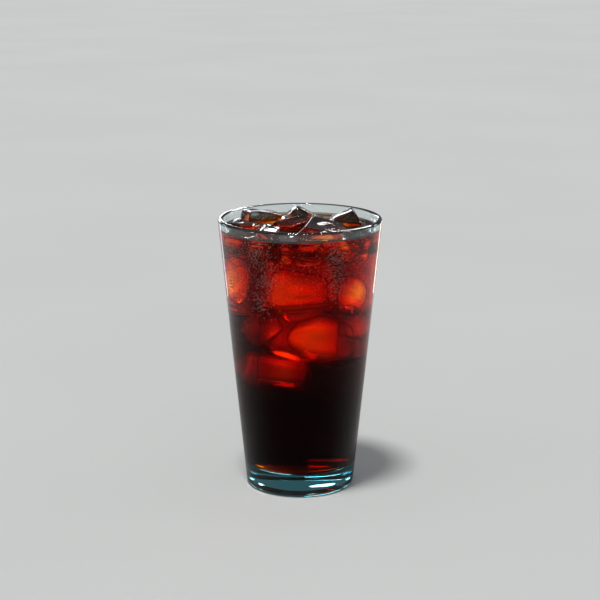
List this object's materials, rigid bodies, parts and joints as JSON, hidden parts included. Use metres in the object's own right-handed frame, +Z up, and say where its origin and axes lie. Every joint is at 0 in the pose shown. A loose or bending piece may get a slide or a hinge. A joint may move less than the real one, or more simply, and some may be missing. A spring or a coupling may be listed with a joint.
{
  "type": "glass of cold brew coffee with ice",
  "caption": "Conical bar glass with a thick clear bottom, filled with cold brew coffee to just below the rim, with clear cut ice breaking the surface.",
  "frame": {"origin": "centre of the foot, on the plane the glass stands on", "axes": "+Z up the axis of the glass to its mouth; the viewer's side is -Y; the glass itself is round, and only the ice tells +X from +Y"},
  "size_m": [0.0886, 0.0886, 0.1522],
  "materials": {
    "clear_glass": "polished",
    "coffee": "wet liquid surface",
    "ice": "wet clear ice"
  },
  "bodies": {
    "root": {"glass": "clear_glass", "coffee": "coffee", "ice_back_left": "ice", "ice_back_ridge": "ice", "ice_middle": "ice", "ice_front_right": "ice", "ice_right_peak": "ice", "ice_left": "ice", "ice_front_left": "ice", "ice_right_small": "ice"}
  },
  "joints": []
}
